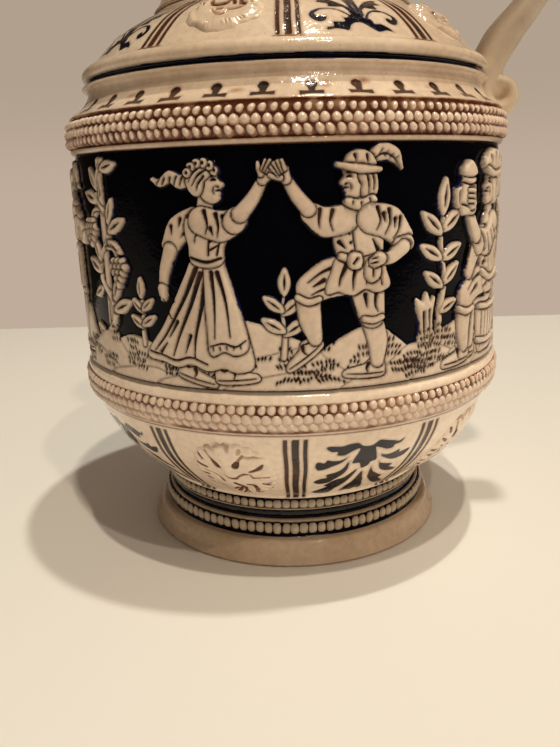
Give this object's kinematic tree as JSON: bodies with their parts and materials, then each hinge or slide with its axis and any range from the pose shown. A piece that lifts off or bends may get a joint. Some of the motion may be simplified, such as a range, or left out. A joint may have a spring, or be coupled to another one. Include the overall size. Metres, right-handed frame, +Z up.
{
  "type": "stoneware jug",
  "caption": "Stoneware jug with a straight relief drum, bead bands, domed shoulder, cylindrical neck, scrolled strap handle and a hinged pewter lid.",
  "frame": {"origin": "centre of the footprint of the whole jug, handle included, on the table; the jug's own axis stands 17.3 mm from it towards -X", "axes": "+Z up along the jug's axis, +X towards the handle, the lid's pin along Y, the pictured front towards -Y"},
  "size_m": [0.2206, 0.186, 0.3531],
  "materials": {
    "cream_glaze": "glossy salt-type glaze over cream stoneware, brown stain in the hollows",
    "foot_glaze": "thin glossy glaze over grey-tan stoneware",
    "frieze_glaze": "glossy dark cobalt ground under cream relief",
    "handle_glaze": "satin tan glaze",
    "pewter": "cast and turned pewter, satin, slightly tarnished"
  },
  "bodies": {
    "jug": {"foot_ring": "foot_glaze", "belly_bowl": "cream_glaze", "frieze_drum": "frieze_glaze", "shoulder": "cream_glaze", "neck": "cream_glaze", "handle": "handle_glaze", "belly_mask_1": "cream_glaze", "belly_mask_2": "cream_glaze", "belly_mask_3": "cream_glaze", "belly_mask_4": "cream_glaze", "belly_mask_5": "cream_glaze", "shoulder_mask_1": "cream_glaze", "shoulder_mask_2": "cream_glaze", "shoulder_mask_3": "cream_glaze", "shoulder_mask_4": "cream_glaze", "shoulder_mask_5": "cream_glaze", "hinge_strap": "pewter", "hinge_pin": "pewter"},
    "lid": {"lid": "pewter", "finial": "pewter", "lid_tang": "pewter", "thumb_lift": "pewter"}
  },
  "joints": [
    {"name": "lid_hinge", "type": "hinge", "parent": "jug", "child": "lid", "pos_m": [0.04194, 0, 0.30892], "axis": [0, 1, 0], "range_deg": [0, 95]}
  ]
}
